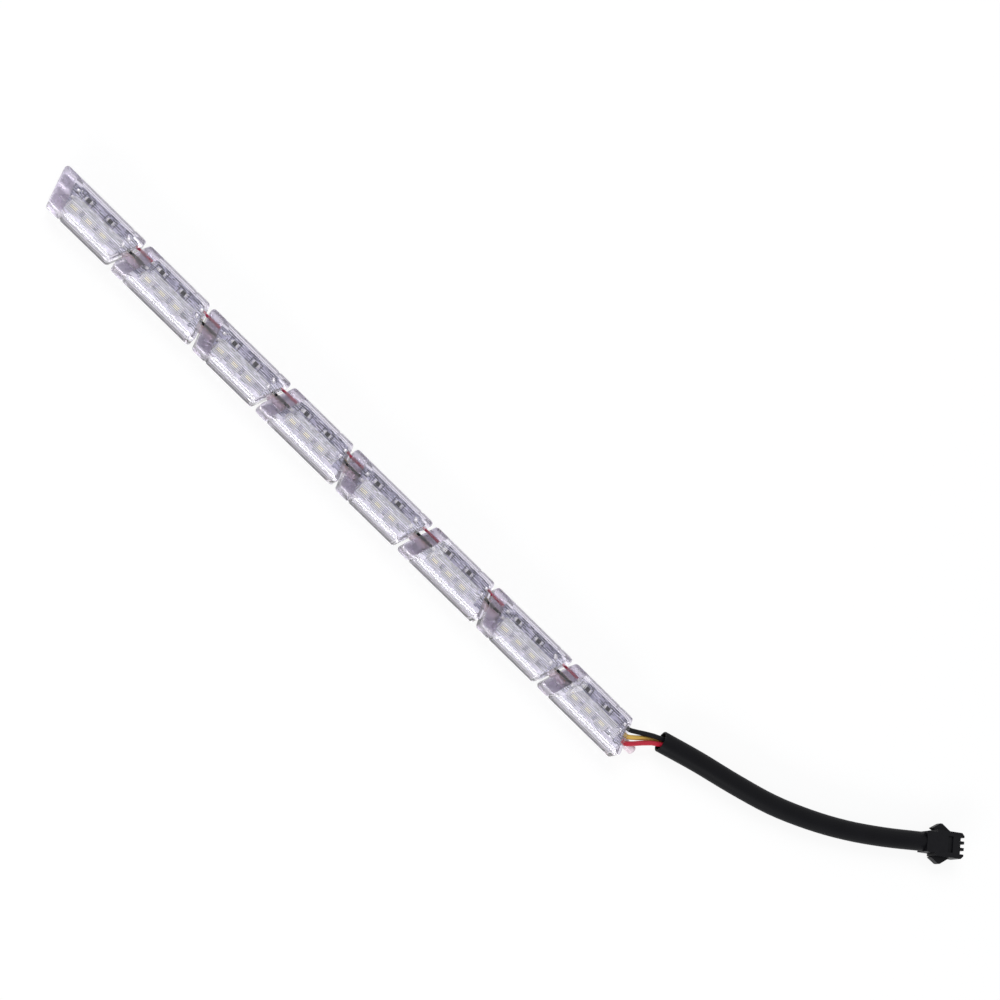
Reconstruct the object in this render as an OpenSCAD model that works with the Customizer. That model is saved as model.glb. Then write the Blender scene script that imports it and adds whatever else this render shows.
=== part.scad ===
// Daytime running light: a flexible strip of clear trapezoid blocks with a short three wire lead.
// Millimetres. X runs along the strip, Y across it, Z up from the face that is stuck down.

/* [Strip] */
// Number of blocks
block_count = 8; // [2:1:8]
// Distance from one block to the next
block_pitch = 27.5; // [24:0.5:40]
// Air gap between neighbouring blocks
block_gap = 0.9; // [0.5:0.1:2]
// Width of a block across the strip
block_w = 11.2; // [10.8:0.2:16]
// How much further a slanted end stands out at one long edge than at the other
end_slant = 4; // [0:0.5:6]
// Radius of a block's upright corners
corner_r = 1.1; // [0.6:0.1:1.6]

/* [Housing] */
// Wall thickness of cover and base
wall = 1.2; // [1:0.1:1.6]
// Floor thickness of the base
base_floor = 0.5; // [0.4:0.1:1.2]
// Length of the solid foot at a block's left end
foot_l = 4.6; // [4:0.1:5]
// Air between the LEDs and the cover's ceiling
lens_clear = 0.4; // [0.3:0.1:0.8]
// Thickness of the cover over its cavity, at the lower edge of the facets
roof_t = 0.5; // [0.4:0.1:1]
// Height of the steep facets along both sides of the lens
crown_h = 0.9; // [0.5:0.1:1.5]
// How far the steep facets lean in
crown_in = 0.9; // [0.5:0.1:1.6]
// Rise of the lens from the steep facets to its ridge
ridge_h = 0.7; // [0.3:0.1:1.2]
// Place of the ridge across the strip
ridge_y = 0.8; // [-1:0.1:1.5]
// Length of the sloping facet at the lens's right end
hip_l = 4.3; // [2:0.1:6]
// Length of the sloping facet beside the foot
foot_hip_l = 3; // [1.5:0.1:5]
// Diameter of the upright key grooves in the long walls
groove_d = 1; // [0.6:0.1:1.4]
// Depth of the key grooves
groove_depth = 0.3; // [0.1:0.05:0.35]
// Distance of a key groove from the end of its wall
groove_in = 5; // [3:0.5:8]
// Height of the locating lip under the cover
lip_h = 0.5; // [0.3:0.1:0.8]
// Thickness of the locating lip
lip_t = 0.5; // [0.3:0.1:0.7]
// Clearance between parts that fit together
fit_clear = 0.1; // [0.05:0.01:0.2]

/* [Spine] */
// Diameter of the soft pegs that link the blocks
spine_d = 2.8; // [2:0.1:3.2]
// Length of a peg outside its own block
spine_out = 5; // [3:0.1:5.4]
// Length of a peg inside its own block
spine_back = 3; // [2:0.5:6]
// Radius of the rounded edge at a peg's free end
spine_edge = 0.9; // [0.3:0.1:0.95]
// Thickness of the two ribs that hold the pegs
rib_t = 0.8; // [0.5:0.1:1]

/* [Circuit] */
// Thickness of a circuit board
board_t = 0.8; // [0.6:0.1:1.2]
// LEDs on a board
led_count = 3; // [1:1:3]
// Distance between LEDs
led_pitch = 5.3; // [4:0.1:5.4]
// Length of an LED package
led_l = 3.5; // [2:0.1:3.8]
// Width of an LED package
led_w = 2.8; // [1.6:0.1:2.8]
// Height of an LED package
led_h = 0.7; // [0.5:0.1:0.8]
// Distance of the LED row from the board's near edge
led_edge = 2.4; // [2:0.1:2.6]
// Wall round the window of an LED package
led_rim = 0.45; // [0.3:0.05:0.6]
// Depth of the phosphor in an LED package
phosphor_t = 0.4; // [0.2:0.05:0.45]
// Resistors on a board
resistor_count = 2; // [1:1:2]
// Distance between resistors
resistor_pitch = 8; // [4:0.5:9]
// Length of a resistor
resistor_l = 2; // [1.6:0.1:3.2]
// Width of a resistor
resistor_w = 1.25; // [0.8:0.05:1.6]
// Height of a resistor
resistor_h = 0.5; // [0.3:0.05:0.6]
// Distance of the resistors from the board's far edge
resistor_edge = 1.9; // [1.2:0.1:2.4]

/* [Wires] */
// Outer diameter of a lead wire
wire_d = 1.4; // [1:0.1:1.5]
// Distance between neighbouring lead wires at the board
wire_pitch = 1.9; // [1.7:0.1:2]
// Place of the middle lead wire across the strip
wire_y = 0.8; // [0:0.1:0.9]
// Outer diameter of the wires that link the boards
link_d = 0.8; // [0.6:0.05:0.9]
// Place of the black link wire across the strip
link_y = 0.5; // [0:0.1:0.8]
// Distance from the black link wire to the red one
link_gap = 2.7; // [2:0.1:2.8]
// Clearance of the wires from boards and bases
wire_clear = 0.05; // [0.03:0.01:0.1]
// Clearance over the wires in the covers' end slots
slot_clear = 0.15; // [0.1:0.05:0.4]

/* [Tape] */
// Thickness of the adhesive tape
tape_t = 0.6; // [0.4:0.1:1]
// Margin between the tape and the block's edge
tape_margin = 0.4; // [0.2:0.1:3]

/* [Lead] */
// Outer diameter of the sleeve at its open mouth
sleeve_d = 6.2; // [5.8:0.1:8]
// Outer diameter of the sleeve at the plug
sleeve_end_d = 5.7; // [5.4:0.1:7]
// Wall thickness of the sleeve
sleeve_t = 0.5; // [0.3:0.1:0.8]
// Radius on which the three wires lie in the sleeve
bundle_r = 0.95; // [0.92:0.01:1.1]

/* [Plug] */
// Length of the plug's housing without its front teeth
plug_l = 10.8; // [9:0.2:16]
// Width of the plug's body
plug_w = 7.6; // [7.2:0.2:10]
// Thickness of the plug's body
plug_h = 5.8; // [5:0.2:8]
// Width of the plug's rear part
plug_rear_w = 6; // [5.8:0.1:7]
// Length of the plug's rear part
plug_rear_l = 3.2; // [2:0.2:4]
// Span over the two barbed side wings
wing_span = 11.8; // [10:0.2:14]
// Thickness of the side wings
wing_h = 2.4; // [1.6:0.2:4]
// Length of the front teeth
tooth_l = 1.2; // [0.6:0.1:2]
// Distance between contacts
contact_pitch = 1.9; // [1.8:0.05:2.2]
// Width of a contact's cavity
cavity_w = 1.3; // [1.1:0.05:1.4]
// Depth of a contact's cavity
cavity_l = 7.5; // [5:0.5:8]
// Wall thickness of a contact
contact_t = 0.25; // [0.15:0.05:0.35]

/* [Hidden] */
$fn = 32;
eps = 0.01;
corner_steps = 5;
inner_r = corner_r / 2;

// Half length of a block at mid width, and the angle of its slanted ends
half_mid = (block_pitch - block_gap) / 2;
end_angle = atan(end_slant / block_w);
half_long = half_mid + end_slant / 2;
foot_in = foot_l * cos(end_angle);

// The origin lies under the middle of the strip with its last peg
block_run = block_pitch * (block_count - 1);
block_reach = max([for (p = rounded(trapezoid(1), corner_r)) p.x]);
spine_reach = max(half_mid + spine_out, block_reach);
first_x = (block_reach - block_run - spine_reach) / 2;
end_x = first_x + block_run + half_mid;

// Levels from the tape upward
floor_z = tape_t + base_floor;
spine_z = floor_z + spine_d / 2;
base_top = floor_z + spine_d + fit_clear;
board_top = base_top + board_t;
wire_z = base_top + wire_clear + wire_d / 2;
link_low = base_top + wire_clear + link_d / 2;
link_high = link_low + link_d + wire_clear;
slot_top = max(wire_z + wire_d / 2, link_high + link_d / 2) + slot_clear;
ceiling_z = board_top + led_h + lens_clear;
eave_z = max(ceiling_z, slot_top) + roof_t;
shoulder_z = eave_z + crown_h;
block_top = shoulder_z + ridge_h;

// Board and lip inside the walls, and the rows of parts along the board's long edges
board_inset = wall + fit_clear;
lip_inset = wall - lip_t;
led_y = led_edge - (block_w / 2 - board_inset);
resistor_y = block_w / 2 - board_inset - resistor_edge;

// The three lead wires across the strip: black, yellow, red
lead_lean_y = 0.6;
wire_ys = [for (i = [1:-1:-1]) wire_y + i * wire_pitch];
slot_low = wire_ys[2] - wire_d / 2 - 0.3;
slot_high = wire_ys[0] + wire_d / 2 + lead_lean_y;

// Link wires across and up: the yellow one lies under the black one, the red one by itself
link_places = [[link_y, link_high], [link_y + link_d * 0.4, link_low], [link_y + link_gap, link_low]];

// Centre line of the lead's sleeve, from the end of the last block and the floor
lead_route = [
    [9, 7.6, 3.3], [21, 11, 3.2], [33.5, 14, 3.2], [46, 17.6, 3.1],
    [57.5, 22.4, 3.1], [68, 28, 3], [78.2, 34.7, 3], [88.6, 42.5, 2.9]
];
lead_steps = 2;
plug_turn = 35;
lead_start_x = -board_inset / cos(end_angle) + wire_d / 2 * (tan(end_angle) + 0.3) + wire_clear;
lead_exit_x = 1.2;

// Turn of the black, yellow and red wire round the bundle's middle, from the left side
bundle_turns = [45, 285, 165];

// Slanted ends turn the other way on every second block
function lean(k) = k % 2 == 1 ? 1 : -1;
function block_x(k) = first_x + (k - 1) * block_pitch;
function end_half(k, y, inset = 0) = half_mid - inset / cos(end_angle) + lean(k) * end_slant * y / block_w;

// A trapezoid inside the block's outline, its corners in counterclockwise order.
// Its left end may lie further in than its other sides.
function trapezoid(k, inset = 0, left = undef) =
    let (y = block_w / 2 - inset, back = is_undef(left) ? inset : left)
    [
        [-end_half(k, -y, back), -y], [end_half(k, -y, inset), -y],
        [end_half(k, y, inset), y], [-end_half(k, y, back), y]
    ];

function unit(v) = v / norm(v);

// Arc that rounds the corner b between its neighbours a and c
function corner_arc(a, b, c, r) =
    let (
        u = unit(a - b), v = unit(c - b),
        half = acos(u * v) / 2,
        middle = b + unit(u + v) * r / sin(half),
        start = b + u * r / tan(half) - middle,
        start_angle = atan2(start.y, start.x)
    )
    [for (i = [0:corner_steps])
        middle + r * [cos(start_angle + (180 - 2 * half) * i / corner_steps),
                      sin(start_angle + (180 - 2 * half) * i / corner_steps)]];

function rounded(points, r) =
    let (n = len(points))
    [for (i = [0:n - 1])
        each corner_arc(points[(i + n - 1) % n], points[i], points[(i + 1) % n], r)];

module slab(k, inset, r, low, high, left = undef) {
    translate([block_x(k), 0, low])
        linear_extrude(high - low) polygon(rounded(trapezoid(k, inset, left), r));
}

// A box that runs along the whole block and out of both of its ends
module through(k, y_low, y_high, z_low, z_high) {
    translate([block_x(k) - half_long - 1, y_low, z_low])
        cube([2 * half_long + 2, y_high - y_low, z_high - z_low]);
}

// The lens's cross-section: steep facets along both sides, then a low roof up to the ridge
module lens_bar(k) {
    side = block_w / 2;
    translate([block_x(k) - half_long, 0, 0]) rotate([90, 0, 90])
        linear_extrude(2 * half_long)
            polygon([
                [-side, 0], [side, 0], [side, eave_z], [side - crown_in, shoulder_z],
                [ridge_y, block_top], [crown_in - side, shoulder_z], [-side, eave_z]
            ]);
}

// What an end facet takes off: all above the eave over a flat part, then above a slope to the ridge
module end_cut(angle, flat, run) {
    over = 1;
    rise = block_top - eave_z;
    rotate(angle) translate([half_mid * cos(end_angle), 0, 0]) rotate([90, 0, 0])
        linear_extrude(3 * block_w, center = true)
            polygon([
                [2, eave_z], [2, block_top + over],
                [-flat - run * (rise + over) / rise, block_top + over], [-flat, eave_z]
            ]);
}

module end_facets(k) {
    tilt = lean(k) * end_angle;
    translate([block_x(k), 0, 0]) {
        end_cut(-tilt, 0, hip_l);
        end_cut(180 + tilt, foot_in, foot_hip_l);
    }
}

// Upright grooves, one in the near wall by the left end and one in the far wall by the right end
module key_grooves(k) {
    for (side = [-1, 1])
        translate([
            block_x(k) + side * (end_half(k, side * block_w / 2) - groove_in),
            side * (block_w / 2 + groove_d / 2 - groove_depth), 0
        ]) cylinder(h = block_top, d = groove_d);
}

module block_cover(k) {
    color([0.86, 0.85, 0.92, 0.35]) difference() {
        union() {
            intersection() {
                slab(k, 0, corner_r, base_top, block_top);
                lens_bar(k);
            }
            difference() {
                slab(k, lip_inset + fit_clear, inner_r, base_top - lip_h + fit_clear, base_top + eps);
                slab(k, wall, inner_r, 0, base_top);
            }
        }
        end_facets(k);
        key_grooves(k);
        slab(k, wall, inner_r, base_top - eps, ceiling_z, foot_in);
        through(k, slot_low, slot_high, 0, slot_top);
    }
}

// Floor and walls, with a solid foot, two ribs beside the pegs and a groove for the cover's lip
module block_base(k) {
    channel = spine_d / 2 + fit_clear;
    color([0.84, 0.83, 0.90, 0.35]) difference() {
        slab(k, 0, corner_r, tape_t, base_top);
        key_grooves(k);
        difference() {
            slab(k, wall, inner_r, floor_z, base_top + 1, foot_in);
            through(k, -channel - rib_t, channel + rib_t, 0, block_top);
        }
        difference() {
            slab(k, lip_inset, inner_r, base_top - lip_h, base_top + 1);
            slab(k, wall + fit_clear, inner_r, 0, base_top + 2);
        }
        through(k, -channel, channel, floor_z, block_top);
    }
}

module board(k) {
    color([0.88, 0.90, 0.97]) slab(k, board_inset, inner_r, base_top, board_top, foot_in + fit_clear);
}

module led_places(k) {
    for (i = [0:led_count - 1])
        translate([block_x(k) + (i - (led_count - 1) / 2) * led_pitch, led_y, board_top]) children();
}

module leds(k) {
    color("white") led_places(k) difference() {
        translate([-led_l / 2, -led_w / 2, 0]) cube([led_l, led_w, led_h]);
        translate([led_rim - led_l / 2, led_rim - led_w / 2, led_h - phosphor_t])
            cube([led_l - 2 * led_rim, led_w - 2 * led_rim, phosphor_t + eps]);
    }
}

module led_phosphor() {
    color([0.96, 0.93, 0.62]) for (k = [1:block_count]) led_places(k)
        translate([led_rim - led_l / 2, led_rim - led_w / 2, led_h - phosphor_t])
            cube([led_l - 2 * led_rim, led_w - 2 * led_rim, phosphor_t]);
}

module resistors(k) {
    color([0.15, 0.15, 0.17]) for (i = [0:resistor_count - 1])
        translate([
            block_x(k) + (i - (resistor_count - 1) / 2) * resistor_pitch - resistor_l / 2,
            resistor_y - resistor_w / 2, board_top
        ]) cube([resistor_l, resistor_w, resistor_h]);
}

// Soft pegs, each from a block's right end into the foot of the next, the last one free
module spine() {
    r = spine_d / 2;
    length = spine_back + spine_out;
    color([0.88, 0.85, 0.87, 0.7]) for (k = [1:block_count])
        translate([block_x(k) + half_mid - spine_back, 0, spine_z]) rotate([0, 90, 0])
            rotate_extrude() polygon([
                [0, 0], [r, 0],
                for (a = [0:22.5:90]) [r - spine_edge * (1 - cos(a)), length - spine_edge * (1 - sin(a))],
                [0, length]
            ]);
}

module tape_pads() {
    color("white") for (k = [1:block_count]) slab(k, tape_margin, inner_r, 0, tape_t);
}

// Short wires from each board's right end to the left end of the next board
module link_wires(i, tint) {
    y = link_places[i].x;
    margin = link_d / 2 * tan(end_angle) + wire_clear;
    color(tint) for (k = [1:block_count - 1]) {
        start = block_x(k) + end_half(k, y, board_inset) + margin;
        finish = block_x(k + 1) - end_half(k + 1, y, foot_in + fit_clear) - margin;
        translate([start, y, link_places[i].y]) rotate([0, 90, 0]) cylinder(h = finish - start, d = link_d);
    }
}

// Smooth curve through points, with the given number of steps between neighbours
function curve(p, steps) =
    let (n = len(p) - 1)
    [for (i = [0:n - 1])
        let (
            a = i == 0 ? 2 * p[0] - p[1] : p[i - 1], b = p[i], c = p[i + 1],
            d = i == n - 1 ? 2 * p[n] - p[n - 1] : p[i + 2]
        )
        for (j = [0:i == n - 1 ? steps : steps - 1])
            let (t = j / steps)
            0.5 * (2 * b + (c - a) * t + (2 * a - 5 * b + 4 * c - d) * t * t
                   + (3 * b - a - 3 * c + d) * t * t * t)];

function heading(line, i) = unit(line[min(i + 1, len(line) - 1)] - line[max(i - 1, 0)]);

// Ring of points round one place of a line
function ring(line, i, r, sides, ahead) =
    let (side = unit(cross([0, 0, 1], ahead)), up = cross(ahead, side))
    [for (s = [0:sides - 1]) line[i] + r * (cos(360 * s / sides) * side + sin(360 * s / sides) * up)];

function quads(from, to, sides) =
    [for (s = [0:sides - 1]) [from + s, from + (s + 1) % sides, to + (s + 1) % sides, to + s]];

function end_heading(line, i, last_dir) = i == len(line) - 1 ? last_dir : heading(line, i);

// Solid tube swept along a line
module tube(line, r, sides, last_dir) {
    n = len(line);
    polyhedron(
        points = [for (i = [0:n - 1]) each ring(line, i, r, sides, end_heading(line, i, last_dir))],
        faces = [
            [for (s = [0:sides - 1]) s],
            for (i = [0:n - 2]) each quads((i + 1) * sides, i * sides, sides),
            [for (s = [sides - 1:-1:0]) (n - 1) * sides + s]
        ]
    );
}

// Hollow tube swept along a line, its radius running from r_first to r_last
module hollow_tube(line, r_first, r_last, t, sides, last_dir) {
    n = len(line);
    inner = n * sides;
    polyhedron(
        points = [
            for (bore = [0, t]) for (i = [0:n - 1])
                each ring(line, i, r_first + (r_last - r_first) * i / (n - 1) - bore, sides,
                          end_heading(line, i, last_dir))
        ],
        faces = [
            for (i = [0:n - 2]) each quads((i + 1) * sides, i * sides, sides),
            for (i = [0:n - 2]) each quads(inner + i * sides, inner + (i + 1) * sides, sides),
            each quads(0, inner, sides),
            each quads(inner + (n - 1) * sides, (n - 1) * sides, sides)
        ]
    );
}

plug_dir = [cos(plug_turn), sin(plug_turn), 0];
plug_at = lead_route[len(lead_route) - 1];

// Route of one lead wire: from its pad, out of the last block, down into the sleeve
function wire_route(i) =
    let (
        y = wire_ys[i], slant_x = lean(block_count) * end_slant * y / block_w,
        turn = bundle_turns[i],
        shift = bundle_r * [-sin(plug_turn) * cos(turn), cos(plug_turn) * cos(turn), sin(turn)]
    )
    concat(
        [[lead_start_x + slant_x, y, wire_z], [lead_exit_x + slant_x, y + lead_lean_y, wire_z]],
        [for (p = lead_route) p + shift]
    );

module lead_wire(i, tint) {
    color(tint) translate([end_x, 0, 0]) tube(curve(wire_route(i), lead_steps), wire_d / 2, 8, plug_dir);
}

module lead_sleeve() {
    color([0.05, 0.05, 0.06]) translate([end_x, 0, 0])
        hollow_tube(curve(lead_route, lead_steps), sleeve_d / 2, sleeve_end_d / 2, sleeve_t, 12, plug_dir);
}

// Places the plug's own frame: X out of the sleeve, Z up
module at_plug() {
    translate([end_x + plug_at.x, plug_at.y, plug_h / 2]) rotate(plug_turn) children();
}

contact_ys = [for (i = [-1:1]) i * contact_pitch];

module plug_outline() {
    rear = plug_rear_w / 2;
    front = plug_w / 2;
    chamfer = 0.8;
    polygon([
        [0, -rear], [plug_rear_l, -rear], [plug_rear_l, -front],
        [plug_l + tooth_l - chamfer, -front], [plug_l + tooth_l, chamfer - front],
        [plug_l + tooth_l, front - chamfer], [plug_l + tooth_l - chamfer, front],
        [plug_rear_l, front], [plug_rear_l, rear], [0, rear]
    ]);
}

module wing_outline() {
    root = plug_w / 2;
    tip = wing_span / 2;
    polygon([
        [plug_rear_l, root - 0.5], [plug_rear_l, root], [plug_rear_l - 0.9, root + 0.5],
        [plug_rear_l + 1.6, tip], [plug_rear_l + 2.2, tip], [plug_l - 2.4, root], [plug_l - 2.4, root - 0.5]
    ]);
}

module plug_housing() {
    slot_w = contact_pitch - 0.85;
    color([0.06, 0.06, 0.07]) at_plug() difference() {
        union() {
            translate([0, 0, -plug_h / 2]) linear_extrude(plug_h) plug_outline();
            for (side = [0, 1]) mirror([0, side, 0])
                translate([0, 0, -wing_h / 2]) linear_extrude(wing_h) wing_outline();
        }
        for (y = contact_ys) {
            translate([plug_l, y - slot_w / 2, -plug_h]) cube([tooth_l + 1, slot_w, 2 * plug_h]);
            translate([plug_l + tooth_l - cavity_l, y - cavity_w / 2, -cavity_w / 2])
                cube([cavity_l + 1, cavity_w, cavity_w]);
        }
        for (z = [-plug_h, plug_h / 2 - 0.5])
            translate([plug_l - 4, -contact_pitch - 0.5, z])
                cube([1.6, 2 * contact_pitch + 1, plug_h / 2 + 0.5]);
    }
}

// Square sockets that lie in the plug's cavities
module plug_contacts() {
    outer = cavity_w - fit_clear;
    length = cavity_l - tooth_l - 0.6;
    color("gold") at_plug() for (y = contact_ys)
        translate([plug_l + tooth_l - cavity_l, y - outer / 2, -cavity_w / 2]) difference() {
            cube([length, outer, outer]);
            translate([1, contact_t, contact_t])
                cube([length, outer - 2 * contact_t, outer - 2 * contact_t]);
        }
}

for (k = [1:block_count]) {
    block_base(k);
    board(k);
    leds(k);
    resistors(k);
    block_cover(k);
}
led_phosphor();
spine();
tape_pads();
link_wires(0, [0.06, 0.06, 0.07]);  // link_wires_black
link_wires(1, [0.90, 0.70, 0.15]);  // link_wires_yellow
link_wires(2, [0.70, 0.06, 0.10]);  // link_wires_red
lead_wire(0, [0.06, 0.06, 0.07]);  // wire_black
lead_wire(1, [0.90, 0.70, 0.15]);  // wire_yellow
lead_wire(2, [0.70, 0.06, 0.10]);  // wire_red
lead_sleeve();
plug_housing();
plug_contacts();
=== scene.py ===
# Looks of the daytime running light: a strip of clear blocks with boards, pegs and wires, sleeve and plug.
# Metres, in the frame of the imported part: X along the strip, Z up from the stuck face.
import math

import bmesh
import bpy
from mathutils import Matrix, Vector


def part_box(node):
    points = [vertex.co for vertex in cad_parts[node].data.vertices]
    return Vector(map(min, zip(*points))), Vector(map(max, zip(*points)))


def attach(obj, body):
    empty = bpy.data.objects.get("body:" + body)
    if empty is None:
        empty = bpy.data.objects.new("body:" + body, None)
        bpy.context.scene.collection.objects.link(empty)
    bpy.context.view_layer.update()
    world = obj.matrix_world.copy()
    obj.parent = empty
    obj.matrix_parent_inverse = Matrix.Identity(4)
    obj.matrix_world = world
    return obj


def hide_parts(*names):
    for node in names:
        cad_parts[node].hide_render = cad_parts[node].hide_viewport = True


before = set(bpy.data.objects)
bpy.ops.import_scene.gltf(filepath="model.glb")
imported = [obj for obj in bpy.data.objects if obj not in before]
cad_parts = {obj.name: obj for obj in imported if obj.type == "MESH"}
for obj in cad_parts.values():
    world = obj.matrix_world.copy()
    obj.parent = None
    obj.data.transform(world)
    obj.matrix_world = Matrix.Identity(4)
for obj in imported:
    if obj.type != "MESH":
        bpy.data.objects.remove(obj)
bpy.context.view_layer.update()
mm = 0.001
print("frame loaded")


# Camera, set by the block corners in the photo

view = {
    "azimuth": -18.0, "elevation": 68.0, "roll": 61.37,
    "distance": 700.6 * mm, "focal": 89.5, "clipStart": 0.01, "clipEnd": 20,
    "target": (36.54 * mm, 25.26 * mm, 4 * mm),
}


def makeCamera(v):
    azimuth, elevation, roll = (math.radians(v[key]) for key in ("azimuth", "elevation", "roll"))
    back = Vector((math.sin(azimuth) * math.cos(elevation), -math.cos(azimuth) * math.cos(elevation),
                   math.sin(elevation)))
    right = Vector((math.cos(azimuth), math.sin(azimuth), 0))
    up = back.cross(right)
    imageRight = math.cos(roll) * right + math.sin(roll) * up
    imageUp = math.cos(roll) * up - math.sin(roll) * right
    turn = Matrix((imageRight, imageUp, back)).transposed().to_4x4()
    camera = bpy.data.objects.new("camera", bpy.data.cameras.new("camera"))
    bpy.context.scene.collection.objects.link(camera)
    camera.matrix_world = Matrix.Translation(Vector(v["target"]) + back * v["distance"]) @ turn
    camera.data.lens = v["focal"]
    camera.data.clip_start = v["clipStart"]
    camera.data.clip_end = v["clipEnd"]
    bpy.context.scene.camera = camera


makeCamera(view)


# Shader helpers: a socket with Python's operators, and the nodes that the looks share

class Sock:
    def __init__(self, tree, socket):
        self.tree, self.socket = tree, socket

    def math(self, operation, *others):
        return addNode(self.tree, "ShaderNodeMath", {"operation": operation}, [self, *others])

    def __add__(self, other): return self.math("ADD", other)
    def __radd__(self, other): return self.math("ADD", other)
    def __sub__(self, other): return self.math("SUBTRACT", other)
    def __mul__(self, other): return self.math("MULTIPLY", other)
    def __truediv__(self, other): return self.math("DIVIDE", other)
    def __mod__(self, other): return self.math("FLOORED_MODULO", other)
    def __gt__(self, other): return self.math("GREATER_THAN", other)
    def __lt__(self, other): return self.math("LESS_THAN", other)
    def __abs__(self): return self.math("ABSOLUTE")


def setValue(socket, value):
    isColour = isinstance(value, tuple) and len(value) == 3 and len(socket.default_value) == 4
    socket.default_value = (*value, 1) if isColour else value


def addNode(tree, kind, settings=None, values=(), output=0):
    node = tree.nodes.new(kind)
    for name, value in (settings or {}).items():
        setattr(node, name, value)
    for key, value in values.items() if isinstance(values, dict) else enumerate(values):
        if isinstance(value, Sock):
            tree.links.new(value.socket, node.inputs[key])
        else:
            setValue(node.inputs[key], value)
    return Sock(tree, node.outputs[output])


def blendColour(tree, factor, first, second):
    colours = {0: factor, 6: first, 7: second}
    return addNode(tree, "ShaderNodeMix", {"data_type": "RGBA"}, colours, output=2)


def biggest(first, *others):
    for other in others:
        first = first.math("MAXIMUM", other)
    return first


def objectPlace(tree):
    return addNode(tree, "ShaderNodeTexCoord", output="Object")


def noise(tree, scale, detail, stretch=None):
    where = objectPlace(tree)
    if stretch:
        where = addNode(tree, "ShaderNodeMapping", values={"Vector": where, "Scale": stretch})
    values = {"Vector": where, "Scale": scale, "Detail": detail}
    return addNode(tree, "ShaderNodeTexNoise", values=values)


def bump(tree, height, strength, depth):
    values = {"Strength": strength, "Distance": depth * mm, "Height": height}
    return addNode(tree, "ShaderNodeBump", values=values)


def newMaterial(name, build, **constants):
    material = bpy.data.materials.new(name)
    material.use_nodes = True
    tree = material.node_tree
    shader = tree.nodes["Principled BSDF"]
    for key, value in constants.items():
        setValue(shader.inputs[key.replace("_", " ")], value)
    for key, value in build(tree).items():
        tree.links.new(value.socket, shader.inputs[key])
    return material


def setMaterial(piece, *materials):
    slots = piece.data.materials
    for i, material in enumerate(materials):
        if i < len(slots):
            slots[i] = material
        else:
            slots.append(material)


# Modelling helpers around Blender's own operators

modelling = {
    "weld": 0.001, "sliver": 0.002, "level": 0.9, "upright": 0.2, "plumb": 0.01,
    "cornerSteps": 6, "edgeSteps": 2,
}


def activate(piece, *others):
    bpy.ops.object.select_all(action="DESELECT")
    bpy.context.view_layer.objects.active = piece
    for item in (piece, *others):
        item.select_set(True)


def addBox(name, low, high):
    low, high = Vector(low), Vector(high)
    bpy.ops.mesh.primitive_cube_add(size=1, location=(low + high) / 2)
    piece = bpy.context.object
    piece.name = name
    piece.scale = high - low
    bpy.ops.object.transform_apply(location=True, rotation=True, scale=True)
    return piece


def addRod(name, radius, length, at, sides, turn=(0, 0, 0)):
    bpy.ops.mesh.primitive_cylinder_add(vertices=sides, radius=radius, depth=length, location=at,
                                        rotation=[math.radians(angle) for angle in turn])
    piece = bpy.context.object
    piece.name = name
    bpy.ops.object.transform_apply(location=True, rotation=True, scale=True)
    return piece


def editOn(piece):
    activate(piece)
    bpy.ops.object.mode_set(mode="EDIT")
    bpy.ops.mesh.select_mode(type="FACE")


def editOff():
    bpy.ops.object.mode_set(mode="OBJECT")


def pick(piece, kind, test):
    bpy.ops.mesh.select_mode(type=kind)
    bpy.ops.mesh.select_all(action="DESELECT")
    mesh = bmesh.from_edit_mesh(piece.data)
    for item in {"FACE": mesh.faces, "EDGE": mesh.edges, "VERT": mesh.verts}[kind]:
        if test(item):
            item.select = True
    mesh.select_flush_mode()
    bmesh.update_edit_mesh(piece.data)


def facesUp(face):
    return face.normal.z > modelling["level"]


def standsUp(edge):
    a, b = (vert.co for vert in edge.verts)
    return abs(a.z - b.z) > modelling["upright"] and (a.xy - b.xy).length < modelling["plumb"]


def moveBy(*step):
    bpy.ops.transform.translate(value=step)


def roundPicked(reach):
    bpy.ops.mesh.bevel(offset=reach, offset_type="OFFSET", segments=modelling["cornerSteps"],
                       profile=0.5, affect="EDGES")


def modify(piece, kind, **settings):
    activate(piece)
    modifier = piece.modifiers.new(kind.lower(), kind)
    for key, value in settings.items():
        setattr(modifier, key, value)
    bpy.ops.object.modifier_apply(modifier=modifier.name)


def discard(piece):
    bpy.data.objects.remove(piece, do_unlink=True)


def carve(piece, cutter, operation="DIFFERENCE"):
    modify(piece, "BOOLEAN", object=cutter, operation=operation, solver="EXACT")
    discard(cutter)


def softenEdges(piece, width, angle):
    modify(piece, "BEVEL", width=width, segments=modelling["edgeSteps"], limit_method="ANGLE",
           angle_limit=math.radians(angle))


def faceOut(piece):
    editOn(piece)
    bpy.ops.mesh.select_all(action="SELECT")
    bpy.ops.mesh.remove_doubles(threshold=modelling["weld"])
    bpy.ops.mesh.normals_make_consistent(inside=False)
    editOff()
    return piece


def dropSlivers(piece):
    editOn(piece)
    bpy.ops.mesh.select_all(action="SELECT")
    bpy.ops.mesh.dissolve_degenerate(threshold=modelling["sliver"])
    editOff()


def smooth(piece, angle):
    activate(piece)
    bpy.ops.object.shade_smooth_by_angle(angle=math.radians(angle))


def toMetres(piece):
    piece.data.transform(Matrix.Scale(mm, 4))


def copyOf(piece, name, shift):
    twin = piece.copy()
    twin.data = piece.data.copy()
    twin.name = name
    bpy.context.scene.collection.objects.link(twin)
    twin.data.transform(Matrix.Translation(Vector(shift)))
    return twin


def joinAll(pieces, name):
    activate(*pieces)
    bpy.ops.object.join()
    pieces[0].name = name
    return pieces[0]


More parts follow.
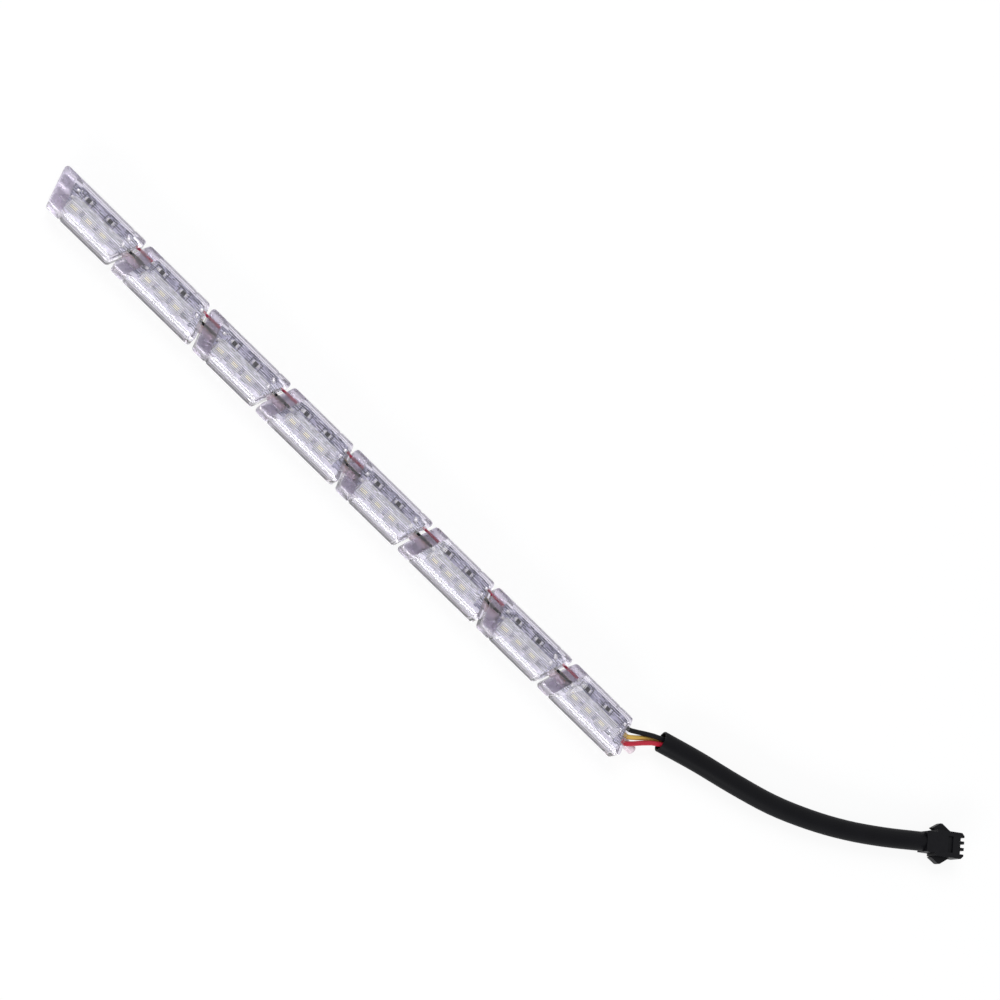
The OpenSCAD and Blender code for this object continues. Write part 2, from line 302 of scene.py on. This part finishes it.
def finishPiece(piece, slot, *nodes):
    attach(piece, "root")
    if nodes:
        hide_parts(*nodes)


# Sizes that several pieces share, in millimetres, as the part has them

coverLow, coverHigh = (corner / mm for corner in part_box("block_cover_1"))
boardLow, boardHigh = (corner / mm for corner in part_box("board_1"))
block = {
    "count": 8, "pitch": 27.5, "gap": 0.9, "width": 11.2, "slant": 4.0, "corner": 1.1, "inner": 0.55,
    "tape": 0.6, "floor": 0.5, "wall": 1.2, "clear": 0.1,
    "seam": boardLow.z, "boardTop": boardHigh.z, "top": coverHigh.z,
}
block["half"] = (block["pitch"] - block["gap"]) / 2
firstX = (coverLow.x + coverHigh.x) / 2
blockXs = [firstX + block["pitch"] * k for k in range(block["count"])]
endX = blockXs[-1] + block["half"]
endAngle = math.atan(block["slant"] / block["width"])


# Lead: three wires that run into a black sleeve, on one route

lead = {
    "wire": 1.4, "wirePitch": 1.9, "wireY": 0.8, "wireClear": 0.05, "wireFine": 4, "startOut": 0.3,
    "exitX": 1.2, "leanY": 0.6, "bundle": 0.95, "bundleTurns": (45, 285, 165),
    "mouth": 6.2, "end": 5.7, "sheet": 0.5, "sleeveFine": 8, "sleeveEdge": 0.12, "plugTurn": 35,
    "route": [
        (9, 7.6, 3.3), (21, 11, 3.2), (33.5, 14, 3.2), (46, 17.6, 3.1),
        (57.5, 22.4, 3.1), (68, 28, 3), (78.2, 34.7, 3), (88.6, 42.5, 2.9),
    ],
    "steps": 4,
}


def smoothLine(points):
    first, last = 2 * points[0] - points[1], 2 * points[-1] - points[-2]
    padded = [first, *points, last]
    line = []
    for a, b, c, d in zip(padded, padded[1:], padded[2:], padded[3:]):
        for j in range(lead["steps"]):
            t = j / lead["steps"]
            line.append(0.5 * (2 * b + (c - a) * t + (2 * a - 5 * b + 4 * c - d) * t * t
                               + (3 * b - a - 3 * c + d) * t ** 3))
    return line + [points[-1]]


def leadRoute():
    return [Vector((x + endX, y, z)) for x, y, z in lead["route"]]


def wireRoute(i):
    y = lead["wireY"] + (1 - i) * lead["wirePitch"]
    z = block["seam"] + lead["wireClear"] + lead["wire"] / 2
    slantX = -block["slant"] * y / block["width"]
    start = (endX - (block["wall"] + block["clear"]) / math.cos(endAngle)
             + lead["wire"] / 2 * (math.tan(endAngle) + lead["startOut"]) + lead["wireClear"])
    turn, plug = math.radians(lead["bundleTurns"][i]), math.radians(lead["plugTurn"])
    shift = lead["bundle"] * Vector((-math.sin(plug) * math.cos(turn), math.cos(plug) * math.cos(turn),
                                     math.sin(turn)))
    exits = [Vector((start + slantX, y, z)),
             Vector((endX + lead["exitX"] + slantX, y + lead["leanY"], z))]
    return exits + [point + shift for point in leadRoute()]


def lineLength(line):
    return sum((b - a).length for a, b in zip(line, line[1:]))


def tubeCurve(name, line, diameter, fineness, caps):
    data = bpy.data.curves.new(name, "CURVE")
    data.dimensions = "3D"
    data.bevel_depth = diameter / 2 * mm
    data.bevel_resolution = fineness
    data.use_fill_caps = caps
    spline = data.splines.new("POLY")
    spline.points.add(len(line) - 1)
    for point, at in zip(spline.points, line):
        point.co = (*(at * mm), 1)
    spline.use_smooth = True
    piece = bpy.data.objects.new(name, data)
    bpy.context.scene.collection.objects.link(piece)
    return piece


def makeLeadWire(i, colourName, material):
    line = smoothLine(wireRoute(i))
    wire = tubeCurve(f"leadWire_{colourName}", line, lead["wire"], lead["wireFine"], caps=True)
    setMaterial(wire, material)
    finishPiece(wire, f"wire_{colourName}", f"wire_{colourName}")
    line[0] * mm
    lineLength(line) * mm


def makeSleeve(material):
    line = smoothLine(leadRoute())
    sleeve = tubeCurve("leadSleeve_tube", line, lead["mouth"], lead["sleeveFine"], caps=False)
    for i, point in enumerate(sleeve.data.splines[0].points):
        share = i / (len(line) - 1)
        point.radius = 1 + share * (lead["end"] / lead["mouth"] - 1)
    activate(sleeve)
    bpy.ops.object.convert(target="MESH")
    sleeve = bpy.context.object
    modify(sleeve, "SOLIDIFY", thickness=lead["sheet"] * mm, offset=-1)
    softenEdges(sleeve, lead["sleeveEdge"] * mm, angle=50)
    smooth(sleeve, angle=40)
    setMaterial(sleeve, material)
    finishPiece(sleeve, "sleeve_black", "lead_sleeve")
    line[0] * mm
    lineLength(line) * mm
    [point * mm for point in line]


# Finishes: rough is the least roughness and its spread, dent a bump's strength and its depth in mm

def grainLook(scale, dark, light, rough, detail=2, dent=None, dentScale=None):
    def build(tree):
        grain = noise(tree, scale, detail)
        look = {
            "Base Color": blendColour(tree, grain, dark, light),
            "Roughness": rough[0] + grain * rough[1],
        }
        if dent:
            look["Normal"] = bump(tree, noise(tree, dentScale, 2) if dentScale else grain, *dent)
        return look
    return build


def wireLook(dark, light):
    return grainLook(350, dark, light, rough=(0.32, 0.16), dent=(0.15, 0.05), dentScale=1400)


def clearPlasticLook(tree):
    return {"Roughness": 0.015 + noise(tree, 900, 1) * 0.03}


smoke = {
    "cloudScale": 300, "cloudShare": 0.6, "patchScale": 130, "patchFrom": 0.5, "patchShare": 0.3,
    "clear": (0.95, 0.89, 0.985), "grey": (0.63, 0.61, 0.71), "rough": (0.12, 0.3), "dent": (0.3, 0.15),
}


def smokyLook(tree):
    s = smoke
    cloud = noise(tree, s["cloudScale"], 3)
    patches = noise(tree, s["patchScale"], 1) > s["patchFrom"]
    greyness = cloud * s["cloudShare"] + patches * s["patchShare"]
    return {
        "Base Color": blendColour(tree, greyness, s["clear"], s["grey"]),
        "Roughness": s["rough"][0] + cloud * s["rough"][1],
        "Normal": bump(tree, cloud, *s["dent"]),
    }


def sleeveLook(tree):
    broad = noise(tree, 160, 3)
    fine = noise(tree, 1500, 2)
    return {
        "Base Color": blendColour(tree, broad, (0.0015, 0.0015, 0.0022), (0.004, 0.004, 0.0055)),
        "Roughness": 0.42 + broad * 0.2,
        "Normal": bump(tree, broad + fine * 0.15, 0.25, 0.25),
    }


def foamLook(tree):
    cells = addNode(tree, "ShaderNodeTexVoronoi", values={"Vector": objectPlace(tree), "Scale": 2600.0})
    return {
        "Base Color": blendColour(tree, cells, (0.80, 0.79, 0.83), (0.92, 0.92, 0.94)),
        "Roughness": 0.75 + cells * 0.15,
        "Normal": bump(tree, cells, 0.3, 0.06),
    }


# Board: a printed frame round each resistor, broken traces, rows of fine tracks with painted glints
# between them, a pale near edge painted whiter as the near highlight bar

marks = {
    "resistorX": 4.0, "resistorY": 2.4, "frameX": 1.75, "frameY": 1.1, "line": 0.13, "openX": 0.85,
    "traces": ((-0.15, 0.07, 0.504), (0.35, 0.05, 0.472), (0.85, 0.07, 0.496), (3.75, 0.06, 0.484)),
    "dashScale": 330, "ink": (0.015, 0.015, 0.03), "inkShare": 0.95,
    "mottleScale": 700, "mask": (0.36, 0.35, 0.46), "pale": (0.60, 0.59, 0.71),
    "pourScale": 260, "pourFrom": 0.52, "pourShare": 0.6, "copper": (0.18, 0.18, 0.27),
    "rowPitch": 0.62, "streakScale": 420,
    "trackTo": 0.28, "trackFrom": 0.5, "trackShare": 0.95, "track": (0.03, 0.03, 0.06),
    "glintFrom": 0.32, "glintTo": 0.46, "glintShare": 0.8, "glint": (0.92, 0.92, 0.96),
    # near edge: a pale pad zone, painted whiter to stand in for the bright highlight bar along the near
    # side
    "nearPaleAndHighlightY": -2.9, "white": (0.84, 0.83, 0.88), "rough": (0.3, 0.2), "dent": (0.3, 0.04),
}


def blockPlace(tree):
    axes = addNode(tree, "ShaderNodeSeparateXYZ", values=[objectPlace(tree)]).socket.node.outputs
    x, y = Sock(tree, axes["X"]), Sock(tree, axes["Y"])
    pitch = block["pitch"] * mm
    return (x - (firstX * mm - pitch / 2)) % pitch - pitch / 2, y


def inked(distance, halfWide):
    return abs(distance) < halfWide * mm


def boardLook(tree):
    m = marks
    x, y = blockPlace(tree)
    besideX = abs(abs(x) - m["resistorX"] * mm)
    besideY = abs(y - m["resistorY"] * mm)
    outline = biggest(besideX - m["frameX"] * mm, besideY - m["frameY"] * mm)
    drawn = inked(outline, m["line"]) * (besideX > m["openX"] * mm)
    dashes = noise(tree, m["dashScale"], 1, (1.0, 5.0, 1.0))
    for traceY, halfWide, dashFrom in m["traces"]:
        drawn = biggest(drawn, inked(y - traceY * mm, halfWide) * (dashes > dashFrom))
    mottling = noise(tree, m["mottleScale"], 3)
    pour = noise(tree, m["pourScale"], 0, (1.0, 2.0, 1.0)) > m["pourFrom"]
    rows = abs((y / (m["rowPitch"] * mm)) % 1.0 - 0.5)
    streaks = noise(tree, m["streakScale"], 1, (1.0, 6.0, 1.0))
    tracks = (rows < m["trackTo"]) * (streaks > m["trackFrom"])
    glints = (rows > m["glintFrom"]) * (streaks < m["glintTo"])
    base = blendColour(tree, mottling, m["mask"], m["pale"])
    base = blendColour(tree, pour * m["pourShare"], base, m["copper"])
    base = blendColour(tree, tracks * m["trackShare"], base, m["track"])
    base = blendColour(tree, glints * m["glintShare"], base, m["glint"])
    # near edge: pale pads, painted whiter as the bright highlight bar along the near side
    base = blendColour(tree, y < m["nearPaleAndHighlightY"] * mm, base, m["white"])
    return {
        "Base Color": blendColour(tree, drawn * m["inkShare"], base, m["ink"]),
        "Roughness": m["rough"][0] + mottling * m["rough"][1],
        "Normal": bump(tree, pour, *m["dent"]),
    }


clearPlastic = newMaterial("clearPlastic", clearPlasticLook, Base_Color=(0.90, 0.885, 0.94),
                           Transmission_Weight=1.0, IOR=1.49)
clearBase = newMaterial("clearBase", clearPlasticLook, Base_Color=(0.885, 0.86, 0.915),
                        Transmission_Weight=1.0, IOR=1.49)
smokyFoot = newMaterial("smokyFoot", smokyLook, Transmission_Weight=1.0, IOR=1.49)
boardWhite = newMaterial("boardWhite", boardLook, IOR=1.5)
ledBody = newMaterial(
    "ledBody", grainLook(900, (0.58, 0.58, 0.61), (0.70, 0.70, 0.71), rough=(0.35, 0.2)))
phosphor = newMaterial(
    "phosphor", grainLook(2600, (0.90, 0.87, 0.52), (0.95, 0.93, 0.74), rough=(0.25, 0.15),
                          dent=(0.2, 0.05)))
resistorBlack = newMaterial(
    "resistorBlack", grainLook(1800, (0.004, 0.004, 0.006), (0.014, 0.014, 0.018), rough=(0.3, 0.25)),
    Specular_IOR_Level=0.2)
solder = newMaterial(
    "solder", grainLook(1200, (0.62, 0.61, 0.60), (0.84, 0.83, 0.81), rough=(0.18, 0.3), detail=3,
                        dent=(0.4, 0.06)), Metallic=1.0)
pegSoft = newMaterial(
    "pegSoft", grainLook(420, (0.76, 0.60, 0.67), (0.88, 0.80, 0.85), rough=(0.18, 0.2), detail=3,
                         dent=(0.15, 0.1)), Transmission_Weight=0.35, IOR=1.42)
tapeWhite = newMaterial("tapeWhite", foamLook)
wireBlack = newMaterial(
    "wireBlack", wireLook((0.002, 0.002, 0.003), (0.006, 0.006, 0.008)), Specular_IOR_Level=0.15)
wireYellow = newMaterial(
    "wireYellow", wireLook((0.50, 0.30, 0.05), (0.62, 0.40, 0.09)), Specular_IOR_Level=0.35)
wireRed = newMaterial(
    "wireRed", wireLook((0.34, 0.006, 0.02), (0.46, 0.015, 0.04)), Specular_IOR_Level=0.35)
linkRed = newMaterial("linkRed", wireLook((0.28, 0.003, 0.03), (0.44, 0.01, 0.07)))
sleeveBlack = newMaterial("sleeveBlack", sleeveLook, Specular_IOR_Level=0.09)
plugBlack = newMaterial(
    "plugBlack", grainLook(900, (0.002, 0.002, 0.003), (0.005, 0.005, 0.0065), rough=(0.34, 0.2),
                           detail=3, dent=(0.2, 0.04), dentScale=2400), Specular_IOR_Level=0.12)
contactMetal = newMaterial(
    "contactMetal", grainLook(1500, (0.70, 0.62, 0.42), (0.86, 0.80, 0.60), rough=(0.2, 0.2)),
    Metallic=1.0)

for i, (name, material) in enumerate((("black", wireBlack), ("yellow", wireYellow), ("red", wireRed))):
    makeLeadWire(i, name, material)
makeSleeve(sleeveBlack)
print("cords made")


# Stage: pale floor, soft lamps and a white surround

stage = {
    "floorSize": 6.0, "floorShade": 0.92, "floorWhite": 0.88,
    "world": 0.6, "worldTint": (0.96, 0.97, 1.0), "white": (1.0, 1.0, 1.0),
    "lamps": [
        ("topLamp", (-0.58, 0.62, 0.95), (0.8, 0.8), 8.5),
        ("frontStrip", (0.16, -0.88, 0.34), (0.9, 0.2), 7.0),
    ],
    "bounces": 24, "glossyBounces": 12,
}


def seenRays(tree):
    rays = addNode(tree, "ShaderNodeLightPath").socket.node.outputs
    kinds = ("Is Camera Ray", "Is Glossy Ray", "Is Transmission Ray")
    return biggest(*(Sock(tree, rays[kind]) for kind in kinds))


def floorLook(tree):
    return {"Roughness": 0.85 + noise(tree, 3, 1) * 0.1}


def makeFloor(s):
    bpy.ops.mesh.primitive_plane_add(size=s["floorSize"])
    floor = bpy.context.object
    floor.name = "floor"
    material = newMaterial("floorPale", floorLook, Base_Color=(s["floorShade"],) * 3)
    setMaterial(floor, material)
    tree = material.node_tree
    plain = Sock(tree, tree.nodes["Principled BSDF"].outputs[0])
    white = addNode(tree, "ShaderNodeEmission", values=[s["white"], 1.0])
    mixed = addNode(tree, "ShaderNodeMixShader", values=[seenRays(tree) * s["floorWhite"], plain, white])
    tree.links.new(mixed.socket, tree.nodes["Material Output"].inputs["Surface"])


def makeLamp(name, at, size, power):
    lamp = bpy.data.objects.new(name, bpy.data.lights.new(name, "AREA"))
    lamp.data.shape = "RECTANGLE"
    lamp.data.size, lamp.data.size_y = size
    lamp.data.energy = power
    lamp.location = at
    lamp.rotation_euler = Vector(at).to_track_quat("Z", "Y").to_euler()
    bpy.context.scene.collection.objects.link(lamp)


def makeWorld(s):
    world = bpy.data.worlds.new("surround")
    world.use_nodes = True
    tree = world.node_tree
    tree.nodes.clear()
    dim = addNode(tree, "ShaderNodeBackground", values=[s["worldTint"], s["world"]])
    bright = addNode(tree, "ShaderNodeBackground", values=[s["white"], 1.0])
    mixed = addNode(tree, "ShaderNodeMixShader", values=[seenRays(tree), dim, bright])
    out = tree.nodes.new("ShaderNodeOutputWorld")
    tree.links.new(mixed.socket, out.inputs["Surface"])
    bpy.context.scene.world = world


def makeStage(s):
    makeFloor(s)
    for lamp in s["lamps"]:
        makeLamp(*lamp)
    makeWorld(s)
    scene = bpy.context.scene
    scene.view_settings.view_transform = "Standard"
    scene.cycles.max_bounces = s["bounces"]
    scene.cycles.transmission_bounces = s["bounces"]
    scene.cycles.glossy_bounces = s["glossyBounces"]


makeStage(stage)
print("stage made")


# Blocks: one cover and one tray for each way the ends slant, modelled in millimetres

housing = {
    "eaveZ": 6.4, "shoulderZ": 7.3, "crownIn": 0.9, "ridgeY": 0.8, "leftRun": 3.0, "rightRun": 4.3,
    "foot": 4.6, "footEdge": 0.25, "ceilingZ": 5.9, "edge": 0.09, "edgeAngle": 25,
    "lipHigh": 0.5, "lipThick": 0.5, "lipJoin": 0.1, "seamGap": 0.03,
    "slotLow": -2.1, "slotHigh": 4.0, "slotTop": 5.85, "channel": 1.5,
    "rib": 0.8, "ribSink": 0.2, "ribFootIn": 1.2, "ribEndIn": 2.2,
    "grooveWide": 1.0, "grooveDeep": 0.3, "grooveIn": 5.0, "grooveSides": 20, "grooveMidZ": 5,
    "fluteLow": -3.4, "fluteHigh": 1.1, "fluteCount": 9, "fluteDeep": 0.15,
    "fluteFootIn": 1.6, "fluteEndIn": 2.6, "combHigh": 0.5,
}
cavityLeft = housing["foot"] - block["wall"] / math.cos(endAngle)
past = {"side": 30, "above": 20, "over": 30, "below": 2}  # how far cutters reach beyond a block


def slantEnds(piece, lean, width):
    for sideX in (1, -1):
        for sideY in (1, -1):
            pick(piece, "VERT", lambda v: v.co.x * sideX > 0 and v.co.y * sideY > 0)
            moveBy(sideX * sideY * lean * block["slant"] / 2 * width / block["width"], 0, 0)


def roundCorners(piece, lean, radius):
    for sign in (1, -1):  # sharp corners of the slant first, then its blunt ones
        pick(piece, "EDGE", lambda e: standsUp(e) and e.verts[0].co.y * lean * sign > 0)
        roundPicked(radius * math.tan(math.pi / 4 + sign * endAngle / 2))


def slab(name, lean, inset, low, high, left=0):
    half = block["half"] - inset / math.cos(endAngle)
    side = block["width"] / 2 - inset
    piece = addBox(name, (-half, -side, low), (half, side, high))
    editOn(piece)
    slantEnds(piece, lean, 2 * side)
    if left:
        pick(piece, "VERT", lambda v: v.co.x < 0)
        moveBy(left, 0, 0)
    roundCorners(piece, lean, block["inner"] if inset else block["corner"])
    editOff()
    return piece


def trim(piece, *planes):
    editOn(piece)
    for point, normal in planes:
        bpy.ops.mesh.select_all(action="SELECT")
        bpy.ops.mesh.bisect(plane_co=point, plane_no=normal.normalized(), use_fill=True, clear_outer=True)
    editOff()
    return piece


def roofPlane(lowY, lowZ, highY, highZ):
    low, high = Vector((0, lowY, lowZ)), Vector((0, highY, highZ))
    slope = high - low
    return low, Vector((0, math.copysign(slope.z, lowY), abs(slope.y)))


def endPlane(lean, sign, reach, run):
    rise = block["top"] - housing["eaveZ"]
    flat = Vector((sign * math.cos(endAngle), -lean * math.sin(endAngle), 0))
    return Vector((sign * reach, 0, housing["eaveZ"])), flat * rise + Vector((0, 0, run))


def cutGrooves(piece, lean):
    h = housing
    for side in (1, -1):
        x = side * (block["half"] + side * lean * block["slant"] / 2 - h["grooveIn"])
        y = side * (block["width"] / 2 + h["grooveWide"] / 2 - h["grooveDeep"])
        at = (x, y, h["grooveMidZ"])
        carve(piece, addRod("groove", h["grooveWide"] / 2, past["above"], at, h["grooveSides"]))


def fluteCutter():
    h = housing
    comb = addBox("comb", (-block["half"] + h["foot"] + h["fluteFootIn"], h["fluteLow"],
                           h["ceilingZ"] - h["combHigh"]),
                  (block["half"] - h["fluteEndIn"], h["fluteHigh"], h["ceilingZ"]))
    cuts = 2 * h["fluteCount"] - 1
    step = (h["fluteHigh"] - h["fluteLow"]) / (cuts + 1)
    editOn(comb)
    pick(comb, "EDGE", lambda e: abs(e.verts[0].co.y - e.verts[1].co.y) > step)
    bpy.ops.mesh.subdivide(number_cuts=cuts)
    pick(comb, "VERT", lambda v: v.co.z > h["ceilingZ"] - h["combHigh"] / 2
         and round((v.co.y - h["fluteLow"]) / step) % 2 == 1)
    moveBy(0, 0, h["fluteDeep"])
    editOff()
    return comb


def cutCrown(cover, lean):
    h = housing
    shoulder = block["width"] / 2 - h["crownIn"]
    planes = [endPlane(lean, 1, block["half"], h["rightRun"])]
    for side in (1, -1):
        planes.append(roofPlane(side * block["width"] / 2, h["eaveZ"], side * shoulder, h["shoulderZ"]))
        planes.append(roofPlane(side * shoulder, h["shoulderZ"], h["ridgeY"], block["top"]))
    trim(cover, *planes)
    step = addBox("step", (-past["side"], -past["side"], h["eaveZ"]),
                  (past["side"], past["side"], past["above"]))
    point, normal = endPlane(lean, -1, block["half"] - h["foot"], h["leftRun"])
    trim(step, (point, -normal))
    faceOut(cover)
    carve(cover, faceOut(step))


def makeLip(lean):
    inset = block["wall"] - housing["lipThick"] + block["clear"]
    lip = slab("lip", lean, inset, block["seam"] + block["clear"] - housing["lipHigh"],
               block["seam"] + housing["lipJoin"])
    inside = slab("inside", lean, block["wall"], 0, past["above"])
    faceOut(lip)
    carve(lip, faceOut(inside))
    return lip


def makeCover(lean):
    h = housing
    cover = slab("cover", lean, 0, block["seam"] + h["seamGap"], block["top"])
    cutCrown(cover, lean)
    cavity = slab("cavity", lean, block["wall"], block["seam"] - past["below"], h["ceilingZ"], cavityLeft)
    carve(cover, faceOut(cavity))
    carve(cover, makeLip(lean), "UNION")
    carve(cover, addBox("slot", (-past["side"], h["slotLow"], 0),
                        (past["side"], h["slotHigh"], h["slotTop"])))
    cutGrooves(cover, lean)
    carve(cover, fluteCutter())
    faceOut(cover)
    softenEdges(cover, h["edge"], h["edgeAngle"])
    markFoot(cover, lean)
    return cover


def makeTray(lean):
    h = housing
    floorTop = block["tape"] + block["floor"]
    tray = slab("tray", lean, 0, block["tape"], block["seam"])
    ring = slab("ring", lean, block["wall"] - h["lipThick"], block["seam"] - h["lipHigh"], past["above"])
    inside = slab("inside", lean, block["wall"] + block["clear"], 0, past["over"])
    faceOut(ring)
    carve(ring, faceOut(inside))
    room = faceOut(slab("room", lean, block["wall"], floorTop, past["above"], cavityLeft))
    carve(tray, ring)
    carve(tray, room)
    leftX, rightX = -block["half"] + h["foot"] - h["ribFootIn"], block["half"] - h["ribEndIn"]
    for side in (1, -1):
        low, high = sorted((side * h["channel"], side * (h["channel"] + h["rib"])))
        rib = addBox("rib", (leftX, low, floorTop - h["ribSink"]), (rightX, high, block["seam"]))
        carve(tray, rib, "UNION")
    carve(tray, addBox("channel", (-past["side"], -h["channel"], floorTop),
                       (past["side"], h["channel"], past["above"])))
    cutGrooves(tray, lean)
    faceOut(tray)
    softenEdges(tray, h["edge"], h["edgeAngle"])
    dropSlivers(tray)
    markFoot(tray, lean)
    return tray


def markFoot(piece, lean):
    for face in piece.data.polygons:
        x = face.center.x + lean * block["slant"] * face.center.y / block["width"]
        face.material_index = int(x < -block["half"] + housing["foot"] - housing["footEdge"])


def oneEach(models, name):
    pieces = [copyOf(models[k % len(models)], f"{name}_{k + 1}", (x, 0, 0))
              for k, x in enumerate(blockXs)]
    for model in models:
        discard(model)
    return pieces


def spread(models, name, node, slot, *materials):
    for k, piece in enumerate(oneEach(models, name)):
        toMetres(piece)
        setMaterial(piece, *materials)
        finishPiece(piece, slot, f"{node}_{k + 1}")


def spreadJoined(models, name, material, slot, *nodes):
    piece = joinAll(oneEach(models, "part"), name)
    toMetres(piece)
    setMaterial(piece, material)
    finishPiece(piece, slot, *nodes)


spread([makeCover(1), makeCover(-1)], "gemCover", "block_cover", "cover_clear", clearPlastic, smokyFoot)
spread([makeTray(1), makeTray(-1)], "clearTray", "block_base", "base_clear", clearBase, smokyFoot)
print("blocks made")


# Foam pads under the blocks

pad = {"margin": 0.4, "gap": 0.04, "edge": 0.12}


def makePad(lean):
    piece = faceOut(slab("pad", lean, pad["margin"], 0, block["tape"] - pad["gap"]))
    softenEdges(piece, pad["edge"], angle=50)
    return piece


spreadJoined([makePad(1), makePad(-1)], "foamPads", tapeWhite, "tape_white", "tape_pads")
print("foam pads made")


# Pegs that link the blocks

peg = {"thick": 2.8, "out": 5.0, "back": 3.0, "edge": 0.9, "sides": 28}


def makePeg():
    length = peg["out"] + peg["back"]
    at = (block["half"] - peg["back"] + length / 2, 0, block["tape"] + block["floor"] + peg["thick"] / 2)
    piece = addRod("peg", peg["thick"] / 2, length, at, peg["sides"], turn=(0, 90, 0))
    tip = block["half"] + peg["out"] - modelling["plumb"]
    editOn(piece)
    pick(piece, "EDGE", lambda e: all(v.co.x > tip for v in e.verts))
    roundPicked(peg["edge"])
    editOff()
    faceOut(piece)
    smooth(piece, angle=40)
    return piece


spreadJoined([makePeg()], "linkPegs", pegSoft, "spine_translucent", "spine")
print("pegs made")


# Circuit: LED gel, resistors with end caps, solder on the boards

circuit = {
    "ledPitch": 5.3, "ledY": -1.9, "ledLong": 3.5, "ledWide": 2.8,
    "gelLong": 1.9, "gelWide": 1.25, "gelLow": 0.3, "gelHigh": 0.5,
    "gelSteps": ((0.28, 0.08), (0.2, 0.03)),
    "resistorPitch": 8.0, "resistorY": 2.4, "resistorLong": 2.0, "resistorWide": 1.25,
    "resistorHigh": 0.5, "resistorEdge": 0.06, "capLong": 0.34,
}


def makeGel():
    c = circuit
    gels = []
    for i in (-1, 0, 1):
        at = Vector((i * c["ledPitch"], c["ledY"], block["boardTop"]))
        half = Vector((c["gelLong"] / 2, c["gelWide"] / 2, 0))
        low, high = at - half + Vector((0, 0, c["gelLow"])), at + half + Vector((0, 0, c["gelHigh"]))
        gel = addBox("gel", low, high)
        editOn(gel)
        pick(gel, "FACE", facesUp)
        for thickness, depth in c["gelSteps"]:
            bpy.ops.mesh.inset(thickness=thickness, depth=depth)
        editOff()
        faceOut(gel)
        smooth(gel, angle=60)
        gels.append(gel)
    return joinAll(gels, "gel")


def makeResistors():
    c = circuit
    bodies = []
    for side in (-1, 1):
        at = Vector((side * c["resistorPitch"] / 2, c["resistorY"], block["boardTop"]))
        half = Vector((c["resistorLong"] / 2, c["resistorWide"] / 2, 0))
        capX = half.x - c["capLong"]
        body = addBox("resistor", at - half, at + half + Vector((0, 0, c["resistorHigh"])))
        setMaterial(body, resistorBlack, solder)
        editOn(body)
        for sign in (-1, 1):
            bpy.ops.mesh.select_all(action="SELECT")
            bpy.ops.mesh.bisect(plane_co=at + Vector((sign * capX, 0, 0)), plane_no=(1, 0, 0))
        editOff()
        for face in body.data.polygons:
            if abs(face.center.x - at.x) > capX:
                face.material_index = 1
        softenEdges(body, c["resistorEdge"], angle=50)
        bodies.append(body)
    return joinAll(bodies, "resistor")


joint = {
    "ledOut": 0.16, "ledLong": 0.3, "ledShare": 0.75, "ledHigh": 0.32,
    "resistorOut": 0.17, "resistorLong": 0.32, "resistorShare": 0.9, "resistorHigh": 0.3,
    "wireAt": ((0.5, 1.1), (2.9, 1.1)), "wireLong": 1.3, "wireHigh": 0.41,
    "wireEndIn": 1.7, "wireFootIn": 1.3,
    "taper": (0.55, 0.6, 1), "softShare": 0.35,
}


def makeJoint(x, y, long, wide, high):
    top = block["boardTop"]
    piece = addBox("joint", (x - long / 2, y - wide / 2, top), (x + long / 2, y + wide / 2, top + high))
    editOn(piece)
    pick(piece, "FACE", facesUp)
    bpy.ops.transform.resize(value=joint["taper"])
    editOff()
    softenEdges(piece, min(long, wide, high) * joint["softShare"], angle=20)
    smooth(piece, angle=50)
    return piece


def makeSolder():
    c, j = circuit, joint
    joints = []
    for i in (-1, 0, 1):
        for side in (-1, 1):
            x = i * c["ledPitch"] + side * (c["ledLong"] / 2 + j["ledOut"])
            joints.append(makeJoint(x, c["ledY"], j["ledLong"],
                                    c["ledWide"] * j["ledShare"], j["ledHigh"]))
    for i in (-1, 1):
        for side in (-1, 1):
            x = i * c["resistorPitch"] / 2 + side * (c["resistorLong"] / 2 + j["resistorOut"])
            joints.append(makeJoint(x, c["resistorY"], j["resistorLong"],
                                    c["resistorWide"] * j["resistorShare"], j["resistorHigh"]))
    rightX = block["half"] - block["wall"] - j["wireEndIn"]
    leftX = -(block["half"] - housing["foot"] - j["wireFootIn"])
    for y, wide in j["wireAt"]:
        for x in (rightX, leftX):
            joints.append(makeJoint(x, y, j["wireLong"], wide, j["wireHigh"]))
    return joinAll(joints, "solder")


spreadJoined([makeGel()], "ledGel", phosphor, "phosphor_yellow", "led_phosphor")
spread([makeResistors()], "chipResistors", "resistors", "resistor_black")
spreadJoined([makeSolder()], "solderWork", solder, "contact_metal")
print("circuits made")


# Nodes of the part that stay in view

carried = {
    "link_wires_black": wireBlack, "link_wires_yellow": wireYellow, "link_wires_red": linkRed,
    "plug_housing": plugBlack, "plug_contacts": contactMetal,
}
for k in range(1, block["count"] + 1):
    carried[f"board_{k}"] = boardWhite
    carried[f"leds_{k}"] = ledBody
for name, material in carried.items():
    setMaterial(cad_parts[name], material)
